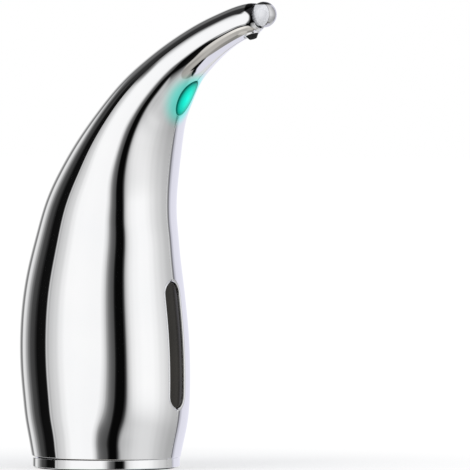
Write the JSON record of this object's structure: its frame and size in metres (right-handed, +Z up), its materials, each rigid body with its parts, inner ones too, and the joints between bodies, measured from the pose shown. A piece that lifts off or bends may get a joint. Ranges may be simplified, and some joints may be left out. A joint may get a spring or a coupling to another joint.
{
  "type": "automatic soap dispenser",
  "caption": "Touch-free soap dispenser with a chrome swan-neck body, level window, sensor lens, tank, batteries and a geared peristaltic pump.",
  "frame": {"origin": "middle of the foot ring, on the surface the dispenser stands on", "axes": "+Z up, +X forward the way the neck reaches, +Y to the dispenser's left; the halves of the body meet on the plane Y = 0"},
  "size_m": [0.1567, 0.095, 0.259],
  "materials": {
    "chrome_plate": "mirror chrome plating on moulded shells",
    "smoked_window": "glossy smoked plastic",
    "teal_lens": "translucent lens lit from behind",
    "satin_button": "satin plated",
    "black_rubber": "soft matt rubber",
    "dark_plastic": "fine textured plastic",
    "white_plastic": "smooth moulded plastic",
    "tank_plastic": "milky translucent plastic",
    "gear_plastic": "acetal, smooth",
    "steel": "plain bright steel",
    "silicone": "translucent silicone",
    "circuit_board": "solder mask",
    "component_black": "moulded electronics",
    "cell_wrap": "printed film without lettering",
    "lead_red": "cable sleeve"
  },
  "bodies": {
    "case": {"shell_left": "chrome_plate", "shell_right": "chrome_plate", "shell_dowels": "white_plastic", "base_collar": "chrome_plate", "collar_tab": "chrome_plate", "foot_ring": "black_rubber", "base_plate": "dark_plastic", "base_screws": "steel", "battery_box": "dark_plastic", "batteries": "cell_wrap", "battery_contacts": "steel", "battery_springs": "steel", "soap_tank": "tank_plastic", "tank_lid": "white_plastic", "tank_seal": "silicone", "suction_tube": "silicone", "suction_filter": "white_plastic", "level_window": "smoked_window", "window_gasket": "black_rubber", "chassis": "white_plastic", "gearbox_cover": "white_plastic", "motor": "steel", "idler_axle": "steel", "pump_housing": "white_plastic", "pump_cover": "white_plastic", "pump_screws": "steel", "pump_tube": "silicone", "tube_coupler": "white_plastic", "delivery_tube": "silicone", "main_board": "circuit_board", "board_parts": "component_black", "small_screws": "steel", "battery_leads": "lead_red", "motor_leads": "lead_red", "sensor_lens": "teal_lens", "sensor_housing": "component_black", "sensor_board": "circuit_board", "infrared_diodes": "component_black", "status_led": "white_plastic", "neck_harness": "lead_red", "dome_switch": "steel", "tip_board": "circuit_board", "nozzle": "black_rubber", "nozzle_ring": "chrome_plate", "nozzle_elbow": "dark_plastic"},
    "button": {"tip_button": "satin_button"},
    "battery_door": {"battery_door": "dark_plastic", "door_seal": "silicone"},
    "fill_plug": {"fill_plug": "dark_plastic", "plug_seal": "silicone"},
    "pump_rotor": {"rotor_shaft": "steel", "rotor_gear": "gear_plastic", "pump_rotor": "white_plastic", "roller_pins": "steel"},
    "roller_1": {"pump_roller_1": "gear_plastic"},
    "roller_2": {"pump_roller_2": "gear_plastic"},
    "roller_3": {"pump_roller_3": "gear_plastic"},
    "idler": {"idler_gear": "gear_plastic"},
    "motor_rotor": {"motor_shaft": "steel", "motor_pinion": "gear_plastic"}
  },
  "joints": [
    {"name": "button_press", "type": "slide", "parent": "case", "child": "button", "axis": [-0.9511, 0, -0.309], "range_m": [0, 0.0008], "stiffness_N_per_m": 1500},
    {"name": "door_pull", "type": "slide", "parent": "case", "child": "battery_door", "axis": [0, 0, -1], "range_m": [0, 0.02]},
    {"name": "plug_pull", "type": "slide", "parent": "case", "child": "fill_plug", "axis": [0, 0, -1], "range_m": [0, 0.02]},
    {"name": "pump_spin", "type": "hinge", "parent": "case", "child": "pump_rotor", "pos_m": [0.016, 0, 0.14], "axis": [0, 0, 1], "continuous": true},
    {"name": "idler_spin", "type": "hinge", "parent": "case", "child": "idler", "pos_m": [0.0028, 0, 0.13], "axis": [0, 0, 1], "continuous": true},
    {"name": "motor_spin", "type": "hinge", "parent": "case", "child": "motor_rotor", "pos_m": [-0.01, 0, 0.13], "axis": [0, 0, 1], "continuous": true},
    {"name": "roller_1_spin", "type": "hinge", "parent": "pump_rotor", "child": "roller_1", "pos_m": [0.016, 0.0066, 0.143], "axis": [0, 0, 1], "continuous": true},
    {"name": "roller_2_spin", "type": "hinge", "parent": "pump_rotor", "child": "roller_2", "pos_m": [0.01028, -0.0033, 0.143], "axis": [0, 0, 1], "continuous": true},
    {"name": "roller_3_spin", "type": "hinge", "parent": "pump_rotor", "child": "roller_3", "pos_m": [0.02172, -0.0033, 0.143], "axis": [0, 0, 1], "continuous": true}
  ],
  "couplings": [
    {"joint": "idler_spin", "follows": "pump_spin", "ratio": -2.6667},
    {"joint": "motor_spin", "follows": "pump_spin", "ratio": 6.8148},
    {"joint": "roller_1_spin", "follows": "pump_spin", "ratio": -3.6},
    {"joint": "roller_2_spin", "follows": "pump_spin", "ratio": -3.6},
    {"joint": "roller_3_spin", "follows": "pump_spin", "ratio": -3.6}
  ]
}
